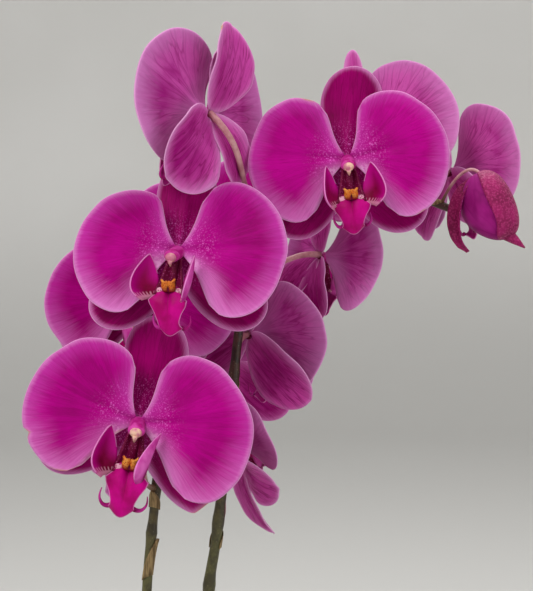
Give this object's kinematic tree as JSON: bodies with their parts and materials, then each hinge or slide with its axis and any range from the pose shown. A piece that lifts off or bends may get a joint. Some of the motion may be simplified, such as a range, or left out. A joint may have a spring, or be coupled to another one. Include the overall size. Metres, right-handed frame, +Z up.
{
  "type": "potted moth orchid",
  "caption": "Moth orchid in a plain round pot: strap leaves, two arching flower stems, magenta blooms and buds.",
  "frame": {"origin": "centre of the pot's flat underside", "axes": "+Z up; the blooms mostly face -Y; the longer flower stem arches towards +X"},
  "size_m": [0.4062, 0.2324, 0.6326],
  "materials": {
    "pot": "glazed, off-white",
    "bark": "rough, matt",
    "leafy_stem": "waxy",
    "leaf": "waxy",
    "flower_stem": "satin",
    "bloom": "soft",
    "bud": "soft"
  },
  "bodies": {
    "root": {"pot": "pot", "bark": "bark", "leafy_stem": "leafy_stem", "leaf_right_outer": "leaf", "leaf_left_outer": "leaf", "leaf_right_middle": "leaf", "leaf_left_middle": "leaf", "leaf_right_inner": "leaf", "leaf_left_inner": "leaf", "stem_right": "flower_stem", "stem_right_arch": "flower_stem", "stem_left": "flower_stem", "stem_left_arch": "flower_stem", "bloom_front_low": "bloom", "bloom_front_middle": "bloom", "bloom_front_high": "bloom", "bloom_top_left": "bloom", "bloom_arch_back": "bloom", "bloom_arch_end": "bloom", "bloom_right_high": "bloom", "bloom_right_middle": "bloom", "bloom_right_low": "bloom", "bloom_left_high": "bloom", "bloom_left_top": "bloom", "bloom_left_middle": "bloom", "bloom_left_low": "bloom", "bloom_back_high": "bloom", "bud_opening": "bud", "bud_back_large": "bud", "bud_back_small": "bud"}
  },
  "joints": []
}
